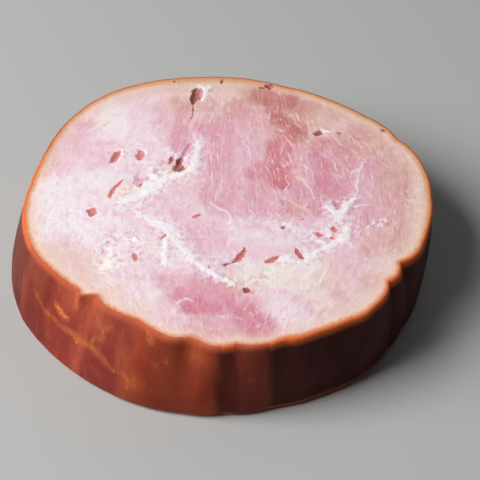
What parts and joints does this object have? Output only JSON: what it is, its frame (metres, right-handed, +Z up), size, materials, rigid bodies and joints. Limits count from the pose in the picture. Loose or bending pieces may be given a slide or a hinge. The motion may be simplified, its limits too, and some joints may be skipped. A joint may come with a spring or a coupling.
{
  "type": "smoked ham",
  "caption": "Thick round slice of boneless smoked ham: a rose pink cut face with pale seams, folds and small hollows, and a browned skin round the side.",
  "frame": {"origin": "on the surface the slice lies on, under the middle of its bounding box", "axes": "+Z up out of the upper cut face; +Y from the side with the folded skin, which faces the viewer, to the smooth side behind; +X to the viewer's right"},
  "size_m": [0.1252, 0.121, 0.0273],
  "materials": {
    "meat": "moist cut cured meat, rose pink muscles with fine pale fibres and cream seams of fat, softly glossy; round the side a satin smoked skin, brick red to dark brown with golden orange veins"
  },
  "bodies": {
    "root": {"ham_slice": "meat"}
  },
  "joints": []
}
